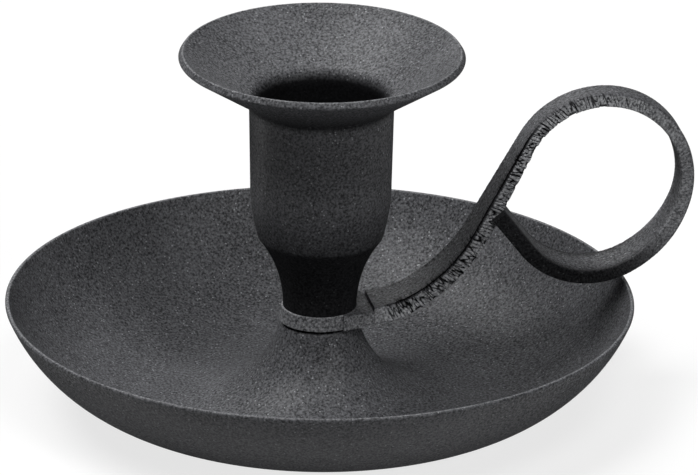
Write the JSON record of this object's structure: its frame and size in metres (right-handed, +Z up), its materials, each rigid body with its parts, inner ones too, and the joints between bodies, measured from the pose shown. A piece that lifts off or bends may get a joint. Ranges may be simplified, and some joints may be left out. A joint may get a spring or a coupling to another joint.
{
  "type": "candlestick",
  "caption": "Low metal chamberstick: a round drip saucer, a flared candle cup on its raised centre and a flat strip handle bent into a finger loop, clamped by one screw.",
  "frame": {"origin": "centre of the saucer's foot ring, on the plane of the table", "axes": "+Z up along the candle's axis, +X out along the handle, which has its loop on that side"},
  "size_m": [0.1211, 0.11, 0.0652],
  "materials": {
    "coat": "fine sand-textured matt black coat",
    "zinc": "bright zinc-plated steel"
  },
  "bodies": {
    "root": {"saucer": "coat", "handle": "coat", "candle_cup": "coat", "clamp_screw": "zinc", "head_washer": "zinc", "flat_washer": "zinc", "lock_washer": "zinc", "hex_nut": "zinc"}
  },
  "joints": []
}
